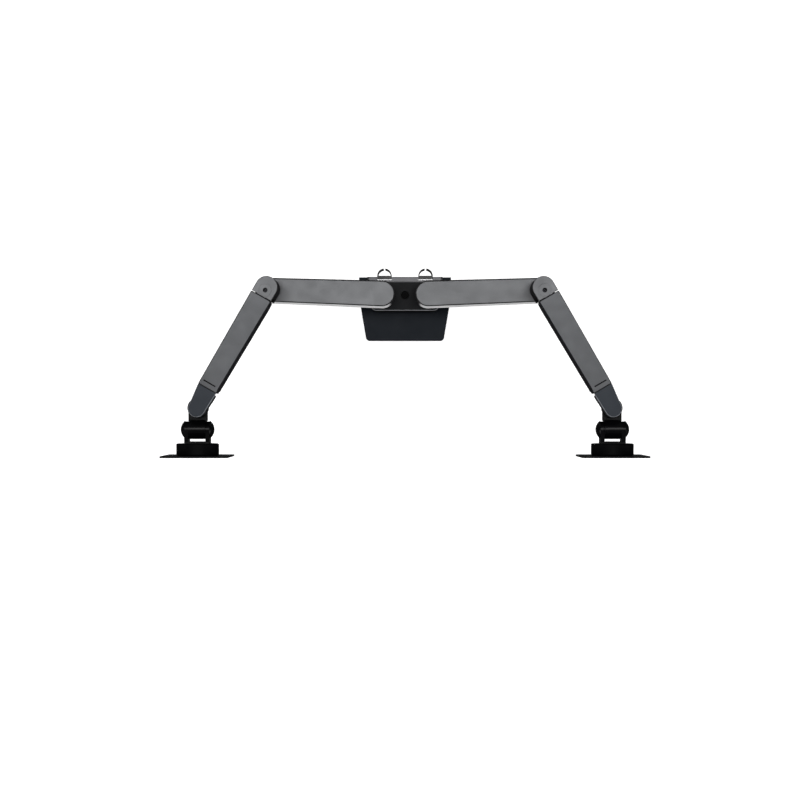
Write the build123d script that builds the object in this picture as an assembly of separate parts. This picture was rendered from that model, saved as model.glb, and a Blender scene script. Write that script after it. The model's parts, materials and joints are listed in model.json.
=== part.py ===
from build123d import *
import os

# Dual monitor arm on one desk clamp. Millimetres, +Z up, +Y away from the user.
# The origin is on the desk top, midway between the two base pivots.
# The right arm is modelled; the left arm is its mirror image in the plane X = 0.

# ---- driving dimensions: plan ----
PIVOT_X = 42.0                    # base pivot, each side of the middle
LOWER_LENGTH = 192.6              # base pivot to elbow axis
LOWER_HEADING = 1.9               # degrees from +X, towards the back
UPPER_LENGTH = 238.9              # elbow axis to head swivel axis, along the arm
WRIST_SIDE = 2.4                  # head swivel axis, outwards from the middle of the upper arm
UPPER_HEADING = -59.9             # degrees from +X: outwards and towards the user
HEAD_HEADING = -90.0              # the screens face the user

# ---- driving dimensions: heights above the desk ----
PAD_TOP = 2.0
PLATE_TOP = 8.0
HOUSING_TOP = 60.0
LOWER_BOTTOM = 61.5
LOWER_TOP = 116.0
UPPER_BOTTOM = 118.0
UPPER_TOP = 176.0
WRIST_BOTTOM = 124.0
WRIST_TOP = 176.0
NECK_BOTTOM = 131.0
NECK_TOP = 147.0
HEAD_Z = 145.0                    # tilt axis, and centre of the screen plate

# ---- driving dimensions: parallelogram of the upper arm ----
PIN_NEAR = 30.0                   # elbow-end pins, from the elbow axis
PIN_FAR = 188.0                   # wrist-end pins
PIN_HIGH = 163.0
PIN_LOW = 131.0
PIN_R = 3.0
RUN = 0.05                        # radial clearance of a running fit
PRESS = 0.02                      # radial clearance left at a fixed pin
OPEN_PIVOT = 0.3                  # clearance at the pivot where the parallelogram is opened
SWEEP_CUT = 17.95                 # hollow in the blocks, about each pin, that the shells turn in
CHEEK_IN = 5.0
CHEEK_OUT = 9.5
CHEEK_HIGH_R = 9.0
CHEEK_LOW_R = 8.5
CHEEK_ROOT = 20.0                 # root of the cheeks, from the pins
CHEEK_ROOT_LIFT = 5.5             # how far the root keeps inside the two pins

# ---- driving dimensions: gas spring ----
STRUT_NEAR = (30.0, 147.0)        # anchor between the elbow cheeks, as (along, up)
STRUT_FAR = (152.0, 147.0)        # anchor under the upper shell
STRUT_PLAY = 3.0                  # clearance of the opened pivot at the near anchor

# ---- driving dimensions: head ----
TILT_AHEAD = 37.0                 # tilt axis, ahead of the swivel axis
NECK_R = 17.5
NECK_HALF = 15.8                  # half the width of the bridge behind the barrel
BARREL_R = 16.5
BARREL_HALF = 14.4
EAR_IN = 14.7
EAR_OUT = 21.6
EAR_R = 14.0
PUCK_R = 36.5
PUCK_BACK = 61.0
PUCK_FRONT = 81.0
PLATE_BACK = 81.4
PLATE_FRONT = 84.4
PLATE_SIDE = 115.0
SCREW_HOLE_R = 2.5
HUB_R = 12.0

# ---- driving dimensions: base and clamp ----
HOUSING_FRONT = -26.3
HOUSING_BACK = 25.0
UPRIGHT_FRONT = 25.2
UPRIGHT_BACK = 33.9
UPRIGHT_HALF = 67.0
JAW_TOP = -88.0
JAW_BOTTOM = -96.0
JAW_BACK = 40.2
CLAMP_Y = -4.0
SCREW_R = 6.0
FOOT_PLAY = 0.4                   # the pressure plate turns loosely on the end of the screw
DESK_AT_REST = 30.0               # thickness of desk top that the clamp is drawn at
BRACKET_SCREW_X = 60.0
CLIP_X = 36.5
CLIP_R = 12.9
CLIP_WALL = 1.6
CLIP_BOTTOM = 28.0
CLIP_TOP = 60.0
CLIP_HOOK = 29.6                  # front of the hook that holds a clip on the upright
CLIP_GAP = 2.8
UPRIGHT_TOP = 58.0
CENTRE_BOLT_Y = 1.2


# ---- small helpers ----
def box(x0, x1, y0, y1, z0, z1):
    """Box between two corners."""
    size = Box(x1 - x0, y1 - y0, z1 - z0, align=(Align.MIN, Align.MIN, Align.MIN))
    return Pos(x0, y0, z0) * size


def rod(x, y, z0, z1, r):
    """Upright cylinder."""
    return Pos(x, y, z0) * Cylinder(r, z1 - z0, align=(Align.CENTER, Align.CENTER, Align.MIN))


def cross_rod(x, z, y0, y1, r):
    """Cylinder along Y."""
    return side(Pos(x, z) * Circle(r), y0, y1)


def ahead_rod(x0, x1, z, r):
    """Cylinder along X, in the middle plane."""
    return extrude(Plane.YZ.offset(x0) * Pos(0, z) * Circle(r), amount=x1 - x0)


def slab(face, z0, z1):
    """Plan outline raised between two heights."""
    return extrude(Pos(0, 0, z0) * face, amount=z1 - z0, dir=(0, 0, 1))


def side(face, y0, y1):
    """Side outline, drawn as (along, up), carried between two Y planes."""
    return extrude(Plane.XZ.offset(-y1) * face, amount=y1 - y0, dir=(0, -1, 0))


def outline(*points):
    """Straight-sided outline through the points."""
    return Polygon(*points, align=None)


def hull(*circles):
    """Outline round several circles, each given as (x, y, r)."""
    discs = [Pos(x, y) * Circle(r) for x, y, r in circles]
    edges = [edge for disc in discs for edge in disc.edges()]
    return make_hull(edges)


def both_sides(solid):
    """The solid and its mirror image in the middle plane of a link."""
    return solid + mirror(solid, about=Plane.XZ)


def rounded(solid, z, radius):
    """Round the edges that lie flat at one height."""
    level = [e for e in solid.edges() if e.bounding_box().size.Z < 1e-4]
    return fillet([e for e in level if abs(e.bounding_box().min.Z - z) < 1e-4], radius)


def rounded_rim(solid, z, radius):
    """Round the outer rim of the face at one height."""
    faces = [f for f in solid.faces() if abs(f.center().Z - z) < 1e-4 and f.bounding_box().size.Z < 1e-4]
    face = max(faces, key=lambda f: f.area)
    return fillet(face.outer_wire().edges(), radius)


# ---- where each link stands ----
LOWER_PLACE = Pos(PIVOT_X, 0, 0) * Rot(0, 0, LOWER_HEADING)
ELBOW = LOWER_PLACE * Pos(LOWER_LENGTH, 0, 0)
UPPER_PLACE = Pos(ELBOW.position.X, ELBOW.position.Y, 0) * Rot(0, 0, UPPER_HEADING)
WRIST = UPPER_PLACE * Pos(UPPER_LENGTH, WRIST_SIDE, 0)
HEAD_PLACE = Pos(WRIST.position.X, WRIST.position.Y, 0) * Rot(0, 0, HEAD_HEADING)


# ---- base ----
def base_outline(inset, back):
    """Footprint of the base, wider at the back."""
    front, middle, rear = 69.8 - inset, 80.5 - inset, 83.5 - inset
    face = outline((-rear, back), (-middle, -15), (-front, -78 + inset),
                   (front, -78 + inset), (middle, -15), (rear, back))
    corners = [v for v in face.vertices() if v.Y < -60]
    return fillet(corners, 7)


def base_pad():
    return slab(base_outline(3, 24), 0, PAD_TOP)


def base_plate():
    plate = slab(base_outline(0, 37.2), PAD_TOP, PLATE_TOP)
    plate -= box(-67.6, 67.6, 25, 40, 0, 10)
    plate = rounded_rim(plate, PLATE_TOP, 1.0)
    return plate - rod(0, CENTRE_BOLT_Y, 0, 10, 4.5)


def base_housing():
    face = outline((-67, HOUSING_BACK), (-60, HOUSING_FRONT), (60, HOUSING_FRONT), (67, HOUSING_BACK))
    face = fillet([v for v in face.vertices() if v.Y < 0], 11)
    housing = slab(face, PLATE_TOP, HOUSING_TOP)
    housing = rounded_rim(housing, HOUSING_TOP, 2.0)
    for x in (-PIVOT_X, PIVOT_X):
        housing -= rod(x, 0, 11.9, HOUSING_TOP, 13.02)
        housing -= rod(x, 0, 57.9, HOUSING_TOP, 17.05)
        for z in (20, 46):
            housing -= cross_rod(x * BRACKET_SCREW_X / PIVOT_X, z, 13, HOUSING_BACK, 2.95)
    housing -= rod(0, CENTRE_BOLT_Y, 50, HOUSING_TOP, 7.3)
    housing -= rod(0, CENTRE_BOLT_Y, 0, 51, 4.5)
    return housing


def centre_bolt():
    bolt = rod(0, CENTRE_BOLT_Y, 50.1, 56, 6.5) + rod(0, CENTRE_BOLT_Y, 2.2, 50.1, 4.4)
    socket = Pos(0, CENTRE_BOLT_Y, 53) * extrude(RegularPolygon(3.4, 6), amount=4)
    return bolt - socket


def base_bush(x):
    bush = rod(x, 0, 12, 58, 13) + rod(x, 0, 58, HOUSING_TOP, 17)
    return bush - rod(x, 0, 11, 61, 10 + RUN)


def clamp_upright():
    plate = box(-UPRIGHT_HALF, UPRIGHT_HALF, UPRIGHT_FRONT, UPRIGHT_BACK, -2, UPRIGHT_TOP)
    plate = fillet(plate.edges().filter_by(Axis.Y).group_by(Axis.Z)[-1], 4)
    plate += box(-34, 34, UPRIGHT_FRONT, UPRIGHT_BACK, JAW_TOP, -2)
    for x, z in bracket_screw_places():
        plate -= cross_rod(x, z, UPRIGHT_FRONT - 1, UPRIGHT_BACK + 1, 3.1)
        if z > 0:
            plate -= cross_rod(x, z, UPRIGHT_BACK - 3.6, UPRIGHT_BACK + 1, 5.3)
    return plate


def clamp_jaw():
    jaw = box(-34, 34, -30, JAW_BACK, JAW_BOTTOM, JAW_TOP)
    jaw = fillet(jaw.edges().filter_by(Axis.Z).group_by(Axis.Y)[0], 12)
    jaw += box(-34, 34, UPRIGHT_BACK + 0.3, JAW_BACK, JAW_TOP, -48)
    jaw += rod(0, CLAMP_Y, -104, -84, 15)
    jaw -= rod(0, CLAMP_Y, -110, -80, SCREW_R + RUN)
    for x, z in bracket_screw_places()[4:]:
        jaw -= cross_rod(x, z, 33, 41, 3.1)
    return jaw


def bracket_screw_places():
    """Four screws into the housing, then two that hold the jaw."""
    housing = [(x, z) for x in (-BRACKET_SCREW_X, BRACKET_SCREW_X) for z in (20, 46)]
    return housing + [(-20, -68), (20, -68)]


def bracket_screws():
    screws = []
    for x, z in bracket_screw_places():
        seat = UPRIGHT_BACK - 3.5 if z > 0 else JAW_BACK + 0.1
        reach = 14 if z > 0 else UPRIGHT_FRONT + 0.4
        screw = cross_rod(x, z, seat, seat + 3.2, 5) + cross_rod(x, z, reach, seat, 2.9)
        recess = extrude(Plane.XZ.offset(-(seat + 4)) * Pos(x, z) * RegularPolygon(2.3, 6), amount=2.6)
        screws.append(screw - recess)
    return Compound(children=[s.solid() for s in screws])


def cable_clips():
    clips = []
    for x in (-CLIP_X, CLIP_X):
        ring = Circle(CLIP_R) - Circle(CLIP_R - CLIP_WALL)
        ring &= Pos(0, CLIP_R / 2) * Rectangle(3 * CLIP_R, CLIP_R)
        ring -= Pos(0, CLIP_R) * Rectangle(CLIP_GAP, 8)
        ring += Pos(0, -CLIP_WALL / 2) * Rectangle(2 * CLIP_R, CLIP_WALL)
        clip = Pos(x, UPRIGHT_BACK + 0.2 + CLIP_WALL, 0) * slab(ring, CLIP_BOTTOM, CLIP_TOP)
        clip += box(x - CLIP_R, x + CLIP_R, CLIP_HOOK, UPRIGHT_BACK + 1, UPRIGHT_TOP + 0.1, CLIP_TOP)
        clips.append(clip)
    return Compound(children=[c.solid() for c in clips])


def pressure_plate():
    low = -DESK_AT_REST - 7
    plate = rod(0, CLAMP_Y, low + 1, -DESK_AT_REST - 2, 27) + rod(0, CLAMP_Y, low - 5, low + 1, 11)
    return plate - rod(0, CLAMP_Y, low - 6, low, SCREW_R + FOOT_PLAY)


def pressure_pad():
    return rod(0, CLAMP_Y, -DESK_AT_REST - 2, -DESK_AT_REST, 26)


def clamp_screw():
    return rod(0, CLAMP_Y, -158, -DESK_AT_REST - 7.3, SCREW_R)


def clamp_knob():
    knob = rod(0, CLAMP_Y, -166, -150, 17)
    for lobe in range(6):
        knob -= Pos(0, CLAMP_Y, 0) * Rot(0, 0, 60 * lobe) * rod(21, 0, -167, -149, 7)
    knob = rounded(knob, -166, 1.5)
    return knob - rod(0, CLAMP_Y, -158.1, -149, SCREW_R + PRESS)


# ---- lower arm, drawn along X from the base pivot ----
COVER_INSET = 1.5


def lower_outline(inset):
    return hull((-1.5, 0, 22.6 - inset), (LOWER_LENGTH, 0, 20.9 - inset))


def lower_arm():
    arm = slab(lower_outline(0), LOWER_BOTTOM, LOWER_TOP)
    arm = rounded_rim(arm, LOWER_TOP, 0.8)
    arm = rounded_rim(arm, LOWER_BOTTOM, 2.0)
    arm -= slab(lower_outline(COVER_INSET), LOWER_TOP - 2.6, LOWER_TOP + 1)
    arm -= rod(0, 0, LOWER_BOTTOM - 1, 100, 10 + PRESS)
    arm -= rod(LOWER_LENGTH, 0, 69.9, LOWER_TOP, 11 + PRESS)
    arm -= box(30, 165, -13, 13, LOWER_BOTTOM - 1, 104)
    cover_seat = Pos(97.5, 0) * RectangleRounded(143, 31, 6)
    arm -= slab(cover_seat, LOWER_BOTTOM - 1, LOWER_BOTTOM + 2.5)
    return arm


def lower_cover():
    cover = slab(lower_outline(COVER_INSET + 0.2), LOWER_TOP - 2.55, LOWER_TOP - 0.1)
    cover = rounded_rim(cover, LOWER_TOP - 0.1, 0.6)
    return cover - rod(LOWER_LENGTH, 0, LOWER_TOP - 4, LOWER_TOP + 1, 15.2)


def cable_cover():
    skin = slab(Pos(97.5, 0) * RectangleRounded(142.6, 30.6, 5.8), LOWER_BOTTOM, LOWER_BOTTOM + 2.4)
    for x in (50, 97.5, 145):
        skin += both_sides(box(x - 5, x + 5, 10.4, 12.7, LOWER_BOTTOM + 2.4, LOWER_BOTTOM + 12))
    return skin


def base_post():
    return rod(0, 0, 14, 99.9, 10) + rod(0, 0, HOUSING_TOP + 0.3, LOWER_BOTTOM - 0.1, 16)


def elbow_bush():
    bush = rod(LOWER_LENGTH, 0, 70, LOWER_TOP - 2.55, 11)
    bush += rod(LOWER_LENGTH, 0, LOWER_TOP - 2.55, LOWER_TOP, 15)
    return bush - rod(LOWER_LENGTH, 0, 69, LOWER_TOP + 1, 8 + RUN)


# ---- elbow, drawn along X from the elbow axis ----
def sweep_hollow(pin_x, far_x):
    """Space that the shells' ends turn through, between the two pins and beyond."""
    hollow = cross_rod(pin_x, PIN_HIGH, -25, 25, SWEEP_CUT) + cross_rod(pin_x, PIN_LOW, -25, 25, SWEEP_CUT)
    return hollow + box(min(pin_x, far_x), max(pin_x, far_x), -25, 25, PIN_LOW, PIN_HIGH)


def cheeks(pin_x, root_x):
    """Two plates that carry the pins, rooted in the block at root_x."""
    face = hull((pin_x, PIN_HIGH, CHEEK_HIGH_R), (pin_x, PIN_LOW, CHEEK_LOW_R),
                (root_x, PIN_HIGH - CHEEK_ROOT_LIFT, 1), (root_x, PIN_LOW + CHEEK_ROOT_LIFT, 1))
    face -= Pos(pin_x, PIN_HIGH) * Circle(PIN_R + PRESS)
    face -= Pos(pin_x, PIN_LOW) * Circle(PIN_R + PRESS)
    return both_sides(side(face, CHEEK_IN, CHEEK_OUT))


def elbow_face():
    return Pos(0.6, 1) * Circle(19) + Pos(9, 1) * Rectangle(16.8, 38)


def elbow_block():
    block = slab(elbow_face(), UPPER_BOTTOM, UPPER_TOP - 5.1)
    block -= sweep_hollow(PIN_NEAR, 12)
    block += cheeks(PIN_NEAR, PIN_NEAR - CHEEK_ROOT)
    block -= rod(0, 0, UPPER_BOTTOM - 1, 150, 8 + PRESS)
    block -= rod(6, 0, 149, UPPER_TOP, 3.5 + RUN)
    return block - cross_rod(*STRUT_NEAR, -CHEEK_OUT, CHEEK_OUT, PIN_R + PRESS)


def elbow_cap():
    cap = slab(elbow_face(), UPPER_TOP - 5, UPPER_TOP)
    cap = rounded_rim(cap, UPPER_TOP, 1.2)
    cap -= sweep_hollow(PIN_NEAR, 12)
    ring = Circle(11.3) - Circle(10.5)
    cap -= slab(Pos(6, 0) * ring, UPPER_TOP - 0.5, UPPER_TOP + 1)
    return cap - rod(6, 0, UPPER_TOP - 6, UPPER_TOP + 1, 4)


def elbow_post():
    return rod(0, 0, 70.5, 149.9, 8) + rod(0, 0, LOWER_TOP + 0.3, UPPER_BOTTOM - 0.05, 15)


def tension_screw():
    screw = rod(6, 0, 150.2, 168, 3.5)
    return screw - Pos(6, 0, 164) * extrude(RegularPolygon(1.8, 6), amount=5)


def elbow_pins():
    pins = [
        cross_rod(PIN_NEAR, PIN_HIGH, -17.3, 19.8, PIN_R),
        cross_rod(PIN_NEAR, PIN_LOW, -14.2, 14.2, PIN_R),
        cross_rod(*STRUT_NEAR, -CHEEK_OUT, CHEEK_OUT, PIN_R),
    ]
    return Compound(children=[p.solid() for p in pins])


# ---- upper arm: two shells that make the parallelogram ----
SHELL_NEAR = 18.0
SHELL_FAR = 200.0
SHELL_WALL = 2.6
SHELL_LOW = 130.0
ROOF = 3.5
FLOOR = 4.0


def shell_face(inset, near, far):
    """Plan of the upper arm: almost parallel outside; the inner side tapers, then flares at the wrist."""
    outer = [(near, 20.4 - inset), (190, 19.5 - inset), (far, 19.3 - inset)]
    inner = [(far, inset - 16.5), (190, inset - 15.5), (near, inset - 18)]
    return outline(*outer, *inner)


def upper_shell():
    face = shell_face(0, SHELL_NEAR, SHELL_FAR)
    face = fillet([v for v in face.vertices() if v.X < 20], 2.5)
    shell = slab(face, SHELL_LOW, UPPER_TOP)
    shell = rounded_rim(shell, UPPER_TOP, 1.6)
    shell -= slab(shell_face(SHELL_WALL, 5, 210), SHELL_LOW - 1, UPPER_TOP - ROOF)
    shell &= side(outline((SHELL_NEAR - 1, UPPER_TOP), (SHELL_NEAR - 1, 150), (29, SHELL_LOW),
                          (187, SHELL_LOW), (SHELL_FAR + 1, 150), (SHELL_FAR + 1, UPPER_TOP)), -25, 25)
    lug = Pos(STRUT_FAR[0], 160.5) * Rectangle(14, 27) + Pos(*STRUT_FAR) * Circle(7)
    shell += both_sides(side(lug, 5.2, 8.2))
    for x in (PIN_NEAR, PIN_FAR):
        shell -= cross_rod(x, PIN_HIGH, -25, 25, PIN_R + RUN)
    shell -= cross_rod(*STRUT_FAR, -9, 9, PIN_R + PRESS)
    return shell - box(189.5, 191.3, -9, 14, UPPER_TOP - 1.2, UPPER_TOP + 1)


def lower_link():
    link = slab(shell_face(1.5, SHELL_NEAR, SHELL_FAR), UPPER_BOTTOM, UPPER_BOTTOM + FLOOR)
    link = rounded_rim(link, UPPER_BOTTOM, 1.6)
    wall = outline((SHELL_NEAR, 14.7), (190, 12.5), (SHELL_FAR, 12.5),
                   (SHELL_FAR, 10.3), (190, 10.3), (SHELL_NEAR, 12.5))
    link += both_sides(slab(wall, UPPER_BOTTOM + FLOOR, 142))
    end = PIN_LOW - UPPER_BOTTOM
    link &= side(hull((PIN_NEAR, PIN_LOW, end), (PIN_FAR, PIN_LOW, end)), -25, 25)
    link -= cross_rod(PIN_NEAR, PIN_LOW, -25, 25, PIN_R + RUN)
    return link - cross_rod(PIN_FAR, PIN_LOW, -25, 25, PIN_R + OPEN_PIVOT)


# ---- gas spring, drawn along X from its near anchor ----
STRUT_LENGTH = STRUT_FAR[0] - STRUT_NEAR[0]
STRUT_PLACE = Pos(STRUT_NEAR[0], 0, STRUT_NEAR[1])


def strut_cylinder():
    tube = ahead_rod(44, 114, 0, 9)
    tube = fillet(tube.edges().filter_by(GeomType.CIRCLE), 1.0)
    tube += box(113, STRUT_LENGTH, -4.8, 4.8, -5, 5)
    tube += cross_rod(STRUT_LENGTH, 0, -4.8, 4.8, 6.5)
    tube -= ahead_rod(47, 111, 0, 6.4)
    tube -= ahead_rod(43, 48, 0, 4 + RUN)
    return STRUT_PLACE * (tube - cross_rod(STRUT_LENGTH, 0, -6, 6, PIN_R + PRESS))


def strut_rod():
    shaft = ahead_rod(8, 80, 0, 4) + ahead_rod(76, 84, 0, 6.35)
    shaft += cross_rod(0, 0, -4.6, 4.6, 9)
    return STRUT_PLACE * (shaft - cross_rod(0, 0, -6, 6, PIN_R + STRUT_PLAY))


def strut_pin():
    return cross_rod(*STRUT_FAR, -8.2, 8.2, PIN_R)


# ---- wrist, drawn along X from the elbow axis ----
NECK_REACH = 219.0                # the neck turns under the block from here on


def wrist_block():
    face = hull((UPPER_LENGTH, 0, 14.5), (199.0, 18.5, 1), (199.0, -15, 1))
    block = slab(face, WRIST_BOTTOM, WRIST_TOP)
    block = rounded_rim(block, WRIST_TOP, 2.0)
    section = outline((-10, WRIST_BOTTOM), (10, WRIST_BOTTOM), (20.5, 150), (20.5, WRIST_TOP),
                      (-16.5, WRIST_TOP), (-16.5, 150))
    block &= extrude(Plane.YZ.offset(190) * section, amount=80)
    block -= sweep_hollow(PIN_FAR, 206)
    block -= box(NECK_REACH, 260, -25, 25, WRIST_BOTTOM - 1, NECK_TOP + 1.2)
    block += cheeks(PIN_FAR, PIN_FAR + CHEEK_ROOT)
    return block - rod(UPPER_LENGTH, WRIST_SIDE, NECK_TOP, 170, 8 + RUN)


def wrist_pins():
    high = cross_rod(PIN_FAR, PIN_HIGH, -14.8, 18.8, PIN_R)
    low = cross_rod(PIN_FAR, PIN_LOW, -12.2, 12.2, PIN_R)
    return Compound(children=[high.solid(), low.solid()])


# ---- head, drawn along X from the swivel axis towards the user ----
def swivel_neck():
    neck = rod(0, 0, NECK_BOTTOM, NECK_TOP, NECK_R) + rod(0, 0, NECK_TOP - 1, 168, 8)
    neck += box(0, TILT_AHEAD - EAR_R - 0.8, -NECK_HALF, NECK_HALF, NECK_BOTTOM, NECK_TOP)
    neck += box(0, TILT_AHEAD, -BARREL_HALF, BARREL_HALF, NECK_BOTTOM, NECK_TOP)
    neck += cross_rod(TILT_AHEAD, HEAD_Z, -BARREL_HALF, BARREL_HALF, BARREL_R)
    return neck - cross_rod(TILT_AHEAD, HEAD_Z, -17, 17, 4 + RUN)


def tilt_clevis():
    ear = hull((TILT_AHEAD, HEAD_Z, EAR_R), (PUCK_BACK - 3, HEAD_Z + 9, 3), (PUCK_BACK - 3, HEAD_Z - 9, 3))
    clevis = both_sides(side(ear, EAR_IN, EAR_OUT))
    clevis += box(PUCK_BACK - 3.4, PUCK_BACK, -EAR_OUT, EAR_OUT, HEAD_Z - 12, HEAD_Z + 12)
    return clevis - cross_rod(TILT_AHEAD, HEAD_Z, -25, 25, 4 + PRESS)


def tilt_bolt():
    dome_base, dome_height, dome_edge = EAR_OUT + 0.1, 7.2, 15.0
    ball = (dome_edge ** 2 + dome_height ** 2) / (2 * dome_height)
    dome = Pos(TILT_AHEAD, dome_base + dome_height - ball, HEAD_Z) * Sphere(ball)
    dome &= box(TILT_AHEAD - 30, TILT_AHEAD + 30, dome_base, 40, HEAD_Z - 30, HEAD_Z + 30)
    shaft = cross_rod(TILT_AHEAD, HEAD_Z, -22, dome_base + 1, 4)
    nut = mirror(dome, about=Plane.XZ) - cross_rod(TILT_AHEAD, HEAD_Z, -23, -EAR_OUT, 4 + PRESS)
    return Compound(children=[(dome + shaft).solid(), nut.solid()])


def puck():
    disc = ahead_rod(PUCK_BACK, PUCK_FRONT, HEAD_Z, PUCK_R)
    disc = fillet(disc.edges().filter_by(GeomType.CIRCLE), 2.0)
    disc -= ahead_rod(70, PUCK_FRONT + 1, HEAD_Z, HUB_R + RUN)
    return disc - ahead_rod(66, 71, HEAD_Z, 4 + PRESS)


def vesa_plate():
    corner = RectangleRounded(PLATE_SIDE, PLATE_SIDE, 8)
    for pitch in (75, 100):
        for x in (-pitch / 2, pitch / 2):
            for y in (-pitch / 2, pitch / 2):
                corner -= Pos(x, y) * Circle(SCREW_HOLE_R)
    plate = extrude(Plane.YZ.offset(PLATE_BACK) * Pos(0, HEAD_Z) * corner, amount=PLATE_FRONT - PLATE_BACK)
    plate += ahead_rod(70.3, PLATE_BACK, HEAD_Z, HUB_R)
    plate -= ahead_rod(70, PLATE_FRONT + 1, HEAD_Z, 4 + RUN)
    return plate - ahead_rod(PLATE_FRONT - 2.1, PLATE_FRONT + 1, HEAD_Z, 7.1)


def hub_screw():
    screw = ahead_rod(66.2, PLATE_FRONT - 2, HEAD_Z, 4) + ahead_rod(PLATE_FRONT - 2, PLATE_FRONT, HEAD_Z, 7)
    socket = extrude(Plane.YZ.offset(PLATE_FRONT - 1.4) * Pos(0, HEAD_Z) * RegularPolygon(2.6, 6), amount=2)
    return screw - socket


# ---- everything, by node name ----
BASE_NODES = {
    "base_pad": base_pad, "base_plate": base_plate, "base_housing": base_housing, "centre_bolt": centre_bolt,
    "clamp_upright": clamp_upright, "clamp_jaw": clamp_jaw, "bracket_screws": bracket_screws,
    "cable_clips": cable_clips, "pressure_plate": pressure_plate, "pressure_pad": pressure_pad,
    "clamp_screw": clamp_screw, "clamp_knob": clamp_knob,
}
LOWER_NODES = {
    "lower_arm": lower_arm, "lower_cover": lower_cover, "cable_cover": cable_cover, "base_post": base_post,
    "elbow_bush": elbow_bush,
}
UPPER_NODES = {
    "elbow_block": elbow_block, "elbow_cap": elbow_cap, "elbow_post": elbow_post,
    "tension_screw": tension_screw,
    "elbow_pins": elbow_pins, "upper_shell": upper_shell, "lower_link": lower_link,
    "strut_cylinder": strut_cylinder, "strut_rod": strut_rod, "strut_pin": strut_pin,
    "wrist_block": wrist_block, "wrist_pins": wrist_pins,
}
HEAD_NODES = {
    "swivel_neck": swivel_neck, "tilt_clevis": tilt_clevis, "tilt_bolt": tilt_bolt, "puck": puck,
    "vesa_plate": vesa_plate, "hub_screw": hub_screw,
}


def write(shape, name):
    export_step(shape, f"parts/{name}.step")


os.makedirs("parts", exist_ok=True)
for name, make in BASE_NODES.items():
    write(make(), name)
for name, x in (("left_base_bush", -PIVOT_X), ("right_base_bush", PIVOT_X)):
    write(base_bush(x), name)
for place, group in ((LOWER_PLACE, LOWER_NODES), (UPPER_PLACE, UPPER_NODES), (HEAD_PLACE, HEAD_NODES)):
    for name, make in group.items():
        right = place * make()
        write(right, "right_" + name)
        write(mirror(right, about=Plane.YZ), "left_" + name)
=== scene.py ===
import json
import math

import bmesh
import bpy
from mathutils import Matrix, Vector


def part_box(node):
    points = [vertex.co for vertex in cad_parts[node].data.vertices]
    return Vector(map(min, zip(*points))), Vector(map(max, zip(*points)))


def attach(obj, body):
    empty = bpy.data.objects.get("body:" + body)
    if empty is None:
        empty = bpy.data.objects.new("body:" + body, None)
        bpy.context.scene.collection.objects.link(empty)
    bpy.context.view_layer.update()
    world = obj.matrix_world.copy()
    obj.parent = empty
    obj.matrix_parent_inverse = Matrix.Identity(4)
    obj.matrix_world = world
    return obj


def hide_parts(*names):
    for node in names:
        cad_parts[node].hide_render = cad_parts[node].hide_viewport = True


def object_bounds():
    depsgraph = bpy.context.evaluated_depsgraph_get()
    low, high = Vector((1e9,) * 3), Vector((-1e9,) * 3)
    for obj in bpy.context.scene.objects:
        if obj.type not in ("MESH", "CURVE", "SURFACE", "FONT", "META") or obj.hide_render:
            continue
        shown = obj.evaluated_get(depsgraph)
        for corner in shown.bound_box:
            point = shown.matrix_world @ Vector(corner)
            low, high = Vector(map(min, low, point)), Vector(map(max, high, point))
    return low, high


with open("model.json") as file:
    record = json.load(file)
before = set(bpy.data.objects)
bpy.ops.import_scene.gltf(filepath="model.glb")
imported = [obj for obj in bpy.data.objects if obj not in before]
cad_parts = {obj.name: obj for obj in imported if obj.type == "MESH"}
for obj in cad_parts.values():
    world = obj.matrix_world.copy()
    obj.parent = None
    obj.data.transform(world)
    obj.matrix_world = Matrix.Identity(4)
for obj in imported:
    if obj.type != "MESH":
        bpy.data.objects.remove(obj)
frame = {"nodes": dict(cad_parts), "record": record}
cad_low, cad_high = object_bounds()
NODES = frame["nodes"]
MM = 0.001
SIDES = ((-1, "left"), (1, "right"))

# ---- view and studio ----
CAMERA_PLACE = (0.0, -0.194, 2.725)
LENS = 66.7
FLOOR_DEPTH = 0.05                 # below the lowest piece
EDGE_ROUND = 0.35 * MM
DOME = 0.15                        # strength of the white dome overhead
UPPER_HEADING = math.radians(-59.9)  # the right upper arm's direction at rest, from +X


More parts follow.
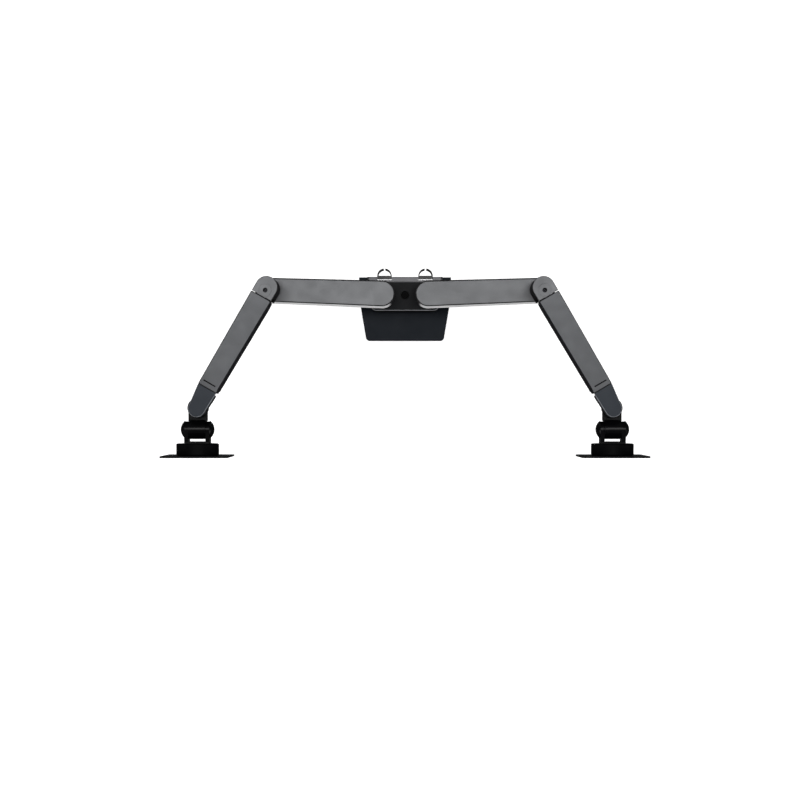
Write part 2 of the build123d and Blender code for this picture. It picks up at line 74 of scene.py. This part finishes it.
# ---- material tools ----
class Shader:
    """A material being made: one Principled surface and the nodes that feed it."""

    def __init__(self, name):
        self.material = bpy.data.materials.new(name)
        self.material.use_nodes = True
        self.tree = self.material.node_tree
        self.surface = self.tree.nodes["Principled BSDF"]
        coordinates = self.tree.nodes.new("ShaderNodeTexCoord")
        self.place = coordinates.outputs["Object"]
        self.normal = coordinates.outputs["Normal"]

    def set(self, **values):
        for key, value in values.items():
            self.surface.inputs[key.replace("_", " ")].default_value = value
        return self

    def node(self, kind, **settings):
        node = self.tree.nodes.new(kind)
        for key, value in settings.items():
            setattr(node, key, value)
        return node

    def link(self, source, target):
        self.tree.links.new(source, target)

    def scaled(self, x, y, z):
        """Object coordinates stretched along the axes."""
        mapping = self.node("ShaderNodeMapping")
        mapping.inputs["Scale"].default_value = (x, y, z)
        self.link(self.place, mapping.inputs["Vector"])
        return mapping.outputs["Vector"]

    def noise(self, scale, detail=3.0, stretch=None, rough=0.5):
        """Noise from 0 to 1; scale is the number of cells in one metre."""
        node = self.node("ShaderNodeTexNoise")
        node.inputs["Scale"].default_value = scale
        node.inputs["Detail"].default_value = detail
        node.inputs["Roughness"].default_value = rough
        self.link(self.scaled(*stretch) if stretch else self.place, node.inputs["Vector"])
        return node.outputs["Fac"]

    def remap(self, source, low, high, to_low, to_high):
        node = self.node("ShaderNodeMapRange")
        for key, value in (("From Min", low), ("From Max", high), ("To Min", to_low), ("To Max", to_high)):
            node.inputs[key].default_value = value
        self.link(source, node.inputs["Value"])
        return node.outputs["Result"]

    def math(self, operation, a, b):
        node = self.node("ShaderNodeMath", operation=operation)
        for socket, value in zip(node.inputs, (a, b)):
            if isinstance(value, (int, float)):
                socket.default_value = value
            else:
                self.link(value, socket)
        return node.outputs["Value"]

    def mix(self, factor, first, second):
        """Colour mix; first and second are colours or sockets."""
        node = self.node("ShaderNodeMix", data_type="RGBA")
        self.link(factor, node.inputs["Factor"])
        for key, value in (("A", first), ("B", second)):
            socket = [s for s in node.inputs if s.name == key and s.type == "RGBA"][0]
            if isinstance(value, tuple):
                socket.default_value = (*value, 1.0)
            else:
                self.link(value, socket)
        return [s for s in node.outputs if s.type == "RGBA"][0]

    def multiplied(self, first, second):
        """Two colours multiplied."""
        node = self.node("ShaderNodeMix", data_type="RGBA", blend_type="MULTIPLY")
        node.inputs["Factor"].default_value = 1.0
        inputs = [socket for socket in node.inputs if socket.type == "RGBA"]
        self.link(first, inputs[0])
        self.link(second, inputs[1])
        return [s for s in node.outputs if s.type == "RGBA"][0]

    def upward(self, low, high):
        """0 on walls, 1 on faces that look up: the height of the piece's own normal, remapped."""
        split = self.node("ShaderNodeSeparateXYZ")
        self.link(self.normal, split.inputs["Vector"])
        return self.remap(split.outputs["Z"], low, high, 0.0, 1.0)

    def against(self, axis, low, high):
        """0 to 1 as the piece's own normal turns to the minus side of an axis, X, Y or Z."""
        split = self.node("ShaderNodeSeparateXYZ")
        self.link(self.normal, split.inputs["Vector"])
        return self.remap(split.outputs[axis], -low, -high, 0.0, 1.0)

    def rounds(self, low=0.2, high=0.97):
        """1 on the rounded edge between a wall and a top face."""
        above = self.upward(low, low + 0.25)
        below = self.math("SUBTRACT", 1.0, self.upward(high - 0.15, high))
        return self.math("MULTIPLY", above, below)

    def edges(self, radius, softness=0.25):
        """1 on sharp edges, 0 on flat stretches."""
        flat = self.node("ShaderNodeNewGeometry")
        dot = self.node("ShaderNodeVectorMath", operation="DOT_PRODUCT")
        self.link(self.softened(radius), dot.inputs[0])
        self.link(flat.outputs["Normal"], dot.inputs[1])
        return self.remap(dot.outputs["Value"], 1.0, 1.0 - softness, 0.0, 1.0)

    def softened(self, radius):
        """Normal with every sharp edge rounded off."""
        bevel = self.node("ShaderNodeBevel", samples=4)
        bevel.inputs["Radius"].default_value = radius
        return bevel.outputs["Normal"]

    def bump(self, height, depth, strength=1.0):
        node = self.node("ShaderNodeBump")
        node.inputs["Strength"].default_value = strength
        node.inputs["Distance"].default_value = depth
        self.link(height, node.inputs["Height"])
        self.link(self.softened(EDGE_ROUND), node.inputs["Normal"])
        self.link(node.outputs["Normal"], self.surface.inputs["Normal"])


def shade(colour, factor):
    return tuple(min(1.0, c * factor) for c in colour)


def powder_coat(name, top, wall, metallic, rough, line=None, wall_rough=0.55, wear=0.35, shine=0.05,
                front=None):
    """Powder coat: orange peel, faint clouds, rubbed edges, and separate tones on tops and walls.

    The round tone, where given, is painted on the rounded edges: a painted highlight on the wrist block and
    the housing, and on the upper shell the black of its walls.
    The front tone, where given, is a lighter tone on the walls that face the user: painted light and painted
    reflection from the front.
    """
    s = Shader(name).set(Specular_IOR_Level=shine)
    up = s.upward(0.45, 0.9)
    # walls that face the user (-Y) take the front tone: painted light and painted reflection from the front
    sides = s.mix(s.against("Y", 0.7, 0.85), wall, front) if front else wall
    tone = s.mix(up, sides, top)
    # the round tone is painted on the rounded edges; where it is light it is a painted highlight
    if line:
        tone = s.mix(s.rounds(), tone, line)
    cloud = s.remap(s.noise(14.0, 3.0), 0.3, 0.7, 0.0, 1.0)
    tone = s.multiplied(tone, s.mix(cloud, (0.94, 0.94, 0.94), (1.06, 1.06, 1.06)))
    fleck = s.remap(s.noise(2600.0, 2.0), 0.45, 0.75, 0.0, 1.0)
    tone = s.multiplied(tone, s.mix(fleck, (0.97, 0.97, 0.97), (1.12, 1.12, 1.12)))
    rubbed = s.math("MULTIPLY", s.edges(0.0006), s.remap(s.noise(160.0, 4.0), 0.42, 0.62, 0.0, wear))
    tone = s.mix(rubbed, tone, shade(top, 1.8))
    s.link(tone, s.surface.inputs["Base Color"])
    s.link(s.remap(up, 0.0, 1.0, 0.0, metallic), s.surface.inputs["Metallic"])
    patchy = s.remap(s.noise(45.0, 4.0), 0.3, 0.7, -0.03, 0.03)
    s.link(s.math("ADD", s.remap(up, 0.0, 1.0, wall_rough, rough), patchy), s.surface.inputs["Roughness"])
    s.bump(s.noise(1400.0, 2.0), 0.00004, 0.6)
    return s.material


def moulded(name, colour, rough, texture=0.00005, scale=2200.0, coat=0.0, shine=0.5):
    """Moulded plastic: fine spark-eroded texture, faint flow marks, slightly shinier edges."""
    s = Shader(name).set(Specular_IOR_Level=shine, Coat_Weight=coat, Coat_Roughness=0.12)
    flow = s.noise(9.0, 2.0, stretch=(1.0, 2.2, 1.0))
    tone = s.mix(s.remap(flow, 0.3, 0.7, 0.0, 1.0), shade(colour, 0.88), shade(colour, 1.12))
    rubbed = s.math("MULTIPLY", s.edges(0.0005), s.remap(s.noise(220.0, 3.0), 0.45, 0.65, 0.0, 0.5))
    s.link(s.mix(rubbed, tone, shade(colour, 2.2)), s.surface.inputs["Base Color"])
    s.link(s.remap(s.noise(60.0, 4.0), 0.3, 0.7, rough - 0.05, rough + 0.05), s.surface.inputs["Roughness"])
    cells = s.node("ShaderNodeTexVoronoi", feature="SMOOTH_F1")
    cells.inputs["Scale"].default_value = scale
    s.link(s.place, cells.inputs["Vector"])
    s.bump(cells.outputs["Distance"], texture, 0.5)
    return s.material


def brushed(name, colour, rough, along=(1.0, 1.0, 40.0)):
    """Machined steel: fine lines across the turning axis, faint stains."""
    s = Shader(name).set(Metallic=1.0)
    lines = s.noise(90.0, 6.0, stretch=along, rough=0.7)
    stain = s.noise(30.0, 3.0)
    tone = s.mix(s.remap(lines, 0.35, 0.65, 0.0, 1.0), shade(colour, 0.82), shade(colour, 1.12))
    tone = s.mix(s.remap(stain, 0.5, 0.8, 0.0, 0.5), tone, shade(colour, 0.65))
    s.link(tone, s.surface.inputs["Base Color"])
    s.link(s.remap(lines, 0.3, 0.7, rough - 0.08, rough + 0.1), s.surface.inputs["Roughness"])
    s.bump(lines, 0.00002, 0.5)
    return s.material


def rubber(name, colour):
    """Matt rubber with a little dust in it."""
    s = Shader(name).set(Specular_IOR_Level=0.3)
    dust = s.noise(55.0, 5.0)
    tone = s.mix(s.remap(dust, 0.45, 0.75, 0.0, 0.5), colour, shade(colour, 1.9))
    s.link(tone, s.surface.inputs["Base Color"])
    s.link(s.remap(dust, 0.3, 0.7, 0.75, 0.92), s.surface.inputs["Roughness"])
    s.bump(s.noise(900.0, 3.0), 0.0001, 0.6)
    return s.material


BLACK = (0.008, 0.008, 0.009)
MATERIALS = {
    # the arm body's light grey front walls are painted light and painted reflection from the front
    "arm_body": powder_coat("arm_body_paint_painted_front_light", BLACK, BLACK, 0.2, 0.45, shine=0.2,
                            front=(0.46, 0.46, 0.465)),
    "arm_shell": powder_coat("arm_shell_paint", (0.081, 0.083, 0.087), BLACK, 0.80, 0.42, line=BLACK),
    "grey_cover": powder_coat("arm_cover_paint", (0.113, 0.115, 0.119), (0.02, 0.02, 0.02), 0.80, 0.42),
    "black_block": powder_coat("elbow_paint", (0.006, 0.006, 0.007), (0.003, 0.003, 0.003), 0.1, 0.42),
    # the wrist block's light round tone is a painted highlight along its edges
    "blue_black_block": powder_coat("wrist_satin_painted_highlight", (0.018, 0.023, 0.031), (0.006, 0.006, 0.008), 0.2, 0.38,
                                    line=(0.22, 0.23, 0.25), shine=0.25),
    "black_plate": powder_coat("plate_paint", (0.005, 0.0075, 0.0115), (0.004, 0.005, 0.006), 0.1, 0.45,
                               shine=0.1),
    # the housing's light round tone is a painted highlight along its front edge
    "black_housing": powder_coat("housing_paint_painted_highlight", (0.004, 0.0045, 0.0055), (0.002, 0.002, 0.002), 0.1, 0.40,
                                 line=(0.16, 0.16, 0.17), shine=0.08),
    "grey_steel": powder_coat("bracket_paint", (0.11, 0.11, 0.115), (0.06, 0.06, 0.062), 0.6, 0.42,
                              shine=0.3),
    "gloss_black": moulded("head_gloss", (0.0025, 0.0025, 0.003), 0.24, texture=0.00002, coat=0.05,
                           shine=0.1),
    "dull_black": moulded("dull_black_paint", (0.002, 0.002, 0.0025), 0.55, texture=0.00003, shine=0.06),
    "black_plastic": moulded("trim_plastic", (0.014, 0.014, 0.015), 0.45),
    "bearing_plastic": moulded("bearing_acetal", (0.55, 0.54, 0.50), 0.35),
    "steel": brushed("machined_steel", (0.48, 0.48, 0.49), 0.30),
    "black_steel": brushed("black_oxide_steel", (0.02, 0.02, 0.022), 0.40),
    "strut_paint": powder_coat("strut_tube_paint", (0.012, 0.012, 0.013), BLACK, 0.2, 0.25, shine=0.5),
    "rubber": rubber("pad_rubber", (0.018, 0.018, 0.018)),
}


# ---- CAD nodes and their materials ----
FINISH = {"satin_arm": "arm_shell"}
NODE_FINISH = {
    "lower_arm": "arm_body", "puck": "dull_black", "centre_bolt": "dull_black",
    "tension_screw": "black_steel", "bracket_screws": "black_steel",
}


def finish_of(name, slot):
    """A node's own finish where it has one, otherwise that of its slot."""
    return NODE_FINISH.get(name.removeprefix("left_").removeprefix("right_"), FINISH.get(slot, slot))


SLOTS = {entry["node"]: entry["material_slot"] for entry in frame["record"]["subparts"]}
for name, obj in NODES.items():
    obj.data.materials.clear()
    obj.data.materials.append(MATERIALS[finish_of(name, SLOTS[name])])


# ---- pieces that stand for or add to CAD nodes ----
def new_piece(name, points, faces, body, slot, smooth=True, finish=None):
    """Mesh piece that rides on a body; its finish is the slot's unless another is named."""
    mesh = bpy.data.meshes.new(name)
    mesh.from_pydata(points, [], faces)
    mesh.validate()
    for polygon in mesh.polygons:
        polygon.use_smooth = smooth
    mesh.materials.append(MATERIALS[finish or slot])
    obj = bpy.data.objects.new(name, mesh)
    bpy.context.scene.collection.objects.link(obj)
    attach(obj, body)
    return obj


def bar(name, low, high, body, slot, place=None, finish=None):
    """Small bar with softened edges between two corners, carried to a place where one is given."""
    edge_share = 0.3
    mesh = bmesh.new()
    bmesh.ops.create_cube(mesh, size=1.0)
    size = Vector(high) - Vector(low)
    centre = (Vector(high) + Vector(low)) / 2
    for vertex in mesh.verts:
        vertex.co = Vector(a * b for a, b in zip(vertex.co, size)) + centre
    bmesh.ops.bevel(mesh, geom=mesh.edges[:], offset=min(size) * edge_share, segments=2, affect="EDGES")
    if place:
        mesh.transform(place)
    bmesh.ops.recalc_face_normals(mesh, faces=mesh.faces[:])
    points = [tuple(vertex.co) for vertex in mesh.verts]
    mesh.verts.index_update()
    faces = [tuple(vertex.index for vertex in face.verts) for face in mesh.faces]
    mesh.free()
    return new_piece(name, points, faces, body, slot, smooth=False, finish=finish)


def clip_highlight_strips():
    """Steel strip on top of the upright, in front of each cable clip's hook: a painted highlight standing in
    for the light line along each clip's base.
    """
    width, depth, gap, height = 26.8 * MM, 1.6 * MM, 0.2 * MM, 1.2 * MM
    low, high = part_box("cable_clips")
    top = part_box("clamp_upright")[1][2]
    back = low[1] - gap
    for name, left in (("left", low[0]), ("right", high[0] - width)):
        bar(f"{name}_clip_highlight_strip", (left, back - depth, top), (left + width, back, top + height),
            "base", "steel")


def upper_place(name, side):
    """From the upper link's own axes to the frame; the left link is the right one mirrored."""
    low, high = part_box(f"{name}_elbow_post")
    elbow = ((low[0] + high[0]) / 2, (low[1] + high[1]) / 2, 0.0)
    mirrored = Matrix.Diagonal((side, 1.0, 1.0, 1.0))
    return Matrix.Translation(elbow) @ mirrored @ Matrix.Rotation(UPPER_HEADING, 4, "Z")


def end_gap_shades():
    """Black bar in the slot across the far end of each upper arm, its lips over the slot's edges: painted
    shade standing in for the dark gap there.
    """
    along, across, height = (189.1 * MM, 191.7 * MM), (-9.0 * MM, 14.0 * MM), (-0.6 * MM, 0.12 * MM)
    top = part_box("right_upper_shell")[1][2]
    low = (along[0], across[0], top + height[0])
    high = (along[1], across[1], top + height[1])
    for side, name in SIDES:
        bar(f"{name}_end_gap_shade", low, high, f"{name}_upper", "black_plastic", upper_place(name, side),
            finish="dull_black")


def end_lips():
    """Curved lip that carries each upper arm's roof down into the wrist block's hollow."""
    pin, pin_drop = 188.0 * MM, 13.0 * MM
    inner, outer, across = 16.5 * MM, 17.7 * MM, (-15.6 * MM, 18.4 * MM)
    first, last, steps = math.radians(29.0), math.radians(47.0), 8
    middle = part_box("right_upper_shell")[1][2] - pin_drop
    section = ((inner, across[0]), (outer, across[0]), (outer, across[1]), (inner, across[1]))
    faces = [(3, 2, 1, 0), tuple(steps * 4 + corner for corner in range(4))]
    for step in range(steps):
        row = step * 4
        for corner in range(4):
            after = (corner + 1) % 4
            faces.append((row + corner, row + after, row + 4 + after, row + 4 + corner))
    for side, name in SIDES:
        place = upper_place(name, side)
        points = []
        for step in range(steps + 1):
            angle = first + (last - first) * step / steps
            for reach, y in section:
                point = Vector((pin + reach * math.cos(angle), y, middle + reach * math.sin(angle)))
                points.append(tuple(place @ point))
        outward = [tuple(reversed(face)) for face in faces] if side > 0 else faces
        new_piece(f"{name}_end_lip", points, outward, f"{name}_upper", "black_plastic", smooth=False)


def threaded_screw():
    """The clamp screw with its thread, one turn for each 3 mm."""
    pitch, depth, around, rows_per_turn = 3.0 * MM, 0.9 * MM, 32, 8
    flank_slope, crest = 2.5, 0.25
    low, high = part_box("clamp_screw")
    centre = ((low[0] + high[0]) / 2, (low[1] + high[1]) / 2)
    radius = (high[0] - low[0]) / 2
    rows = round((high[2] - low[2]) / pitch * rows_per_turn)
    points = []
    for row in range(rows + 1):
        z = low[2] + (high[2] - low[2]) * row / rows
        end = min(z - low[2], high[2] - z) / pitch
        for step in range(around):
            turn = step / around
            phase = (z / pitch - turn) % 1.0
            flank = min(1.0, max(0.0, flank_slope * abs(phase - 0.5) - crest))
            cut = depth * flank if end > 0.0 else depth
            angle = 2 * math.pi * turn
            reach = radius - cut
            points.append((centre[0] + reach * math.cos(angle), centre[1] + reach * math.sin(angle), z))
    faces = []
    for row in range(rows):
        for step in range(around):
            after = (step + 1) % around
            lower, upper = row * around, (row + 1) * around
            faces.append((lower + step, lower + after, upper + after, upper + step))
    faces.append(tuple(reversed(range(around))))
    faces.append(tuple(rows * around + step for step in range(around)))
    screw = new_piece("threaded_screw", points, faces, "screw", "steel")
    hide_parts("clamp_screw")


threaded_screw()
clip_highlight_strips()
end_gap_shades()
end_lips()


# ---- stage ----
def stage_floor():
    mesh = bpy.data.meshes.new("floor")
    reach, level = 12.0, cad_low[2] - FLOOR_DEPTH
    corners = [(-reach, -reach, level), (reach, -reach, level), (reach, reach, level), (-reach, reach, level)]
    mesh.from_pydata(corners, [], [(0, 1, 2, 3)])
    floor = bpy.data.objects.new("floor", mesh)
    bpy.context.scene.collection.objects.link(floor)
    s = Shader("floor_paper").set(Roughness=0.9, Specular_IOR_Level=0.1)
    s.link(s.mix(s.noise(1.5, 2.0), (0.90, 0.90, 0.90), (0.93, 0.93, 0.93)), s.surface.inputs["Base Color"])
    s.set(Emission_Color=(1.0, 1.0, 1.0, 1.0), Emission_Strength=0.6)
    mesh.materials.append(s.material)
    floor.visible_glossy = False


def soft_box(name, place, aim, size, power):
    """Rectangular area light that looks at a point."""
    data = bpy.data.lights.new(name, "AREA")
    data.shape = "RECTANGLE"
    data.size, data.size_y = size
    data.energy = power
    lamp = bpy.data.objects.new(name, data)
    lamp.location = place
    lamp.rotation_euler = (Vector(aim) - Vector(place)).to_track_quat("-Z", "Y").to_euler()
    bpy.context.scene.collection.objects.link(lamp)


def studio_world():
    """Soft white dome above, dark below the horizon."""
    world = bpy.data.worlds.new("studio")
    world.use_nodes = True
    nodes, links = world.node_tree.nodes, world.node_tree.links
    direction = nodes.new("ShaderNodeTexCoord")
    split = nodes.new("ShaderNodeSeparateXYZ")
    links.new(direction.outputs["Generated"], split.inputs["Vector"])
    ramp = nodes.new("ShaderNodeMapRange")
    for key, value in (("From Min", -0.1), ("From Max", 0.5), ("To Min", 0.04), ("To Max", DOME)):
        ramp.inputs[key].default_value = value
    links.new(split.outputs["Z"], ramp.inputs["Value"])
    links.new(ramp.outputs["Result"], nodes["Background"].inputs["Strength"])
    nodes["Background"].inputs["Color"].default_value = (1.0, 1.0, 1.0, 1.0)
    bpy.context.scene.world = world


def studio():
    stage_floor()
    for side, _ in SIDES:
        soft_box(f"side_box_{side}", (side * 0.72, 0.30, 2.9), (side * 0.2, 0.0, 0.1), (0.6, 1.6), 20.0)
        soft_box(f"low_box_{side}", (side * 2.2, -1.2, 0.7), (0.0, 0.0, 0.1), (1.4, 1.0), 12.0)
    soft_box("front_box", (0.0, -2.4, 0.9), (0.0, 0.0, 0.1), (2.2, 0.8), 35.0)
    studio_world()
    bpy.context.scene.view_settings.view_transform = "Standard"


def camera():
    """Looks straight down, as the photograph does."""
    data = bpy.data.cameras.new("camera")
    data.lens = LENS
    data.sensor_width = 36.0
    data.clip_end = 50.0
    view = bpy.data.objects.new("camera", data)
    view.location = CAMERA_PLACE
    bpy.context.scene.collection.objects.link(view)
    bpy.context.scene.camera = view


studio()
camera()
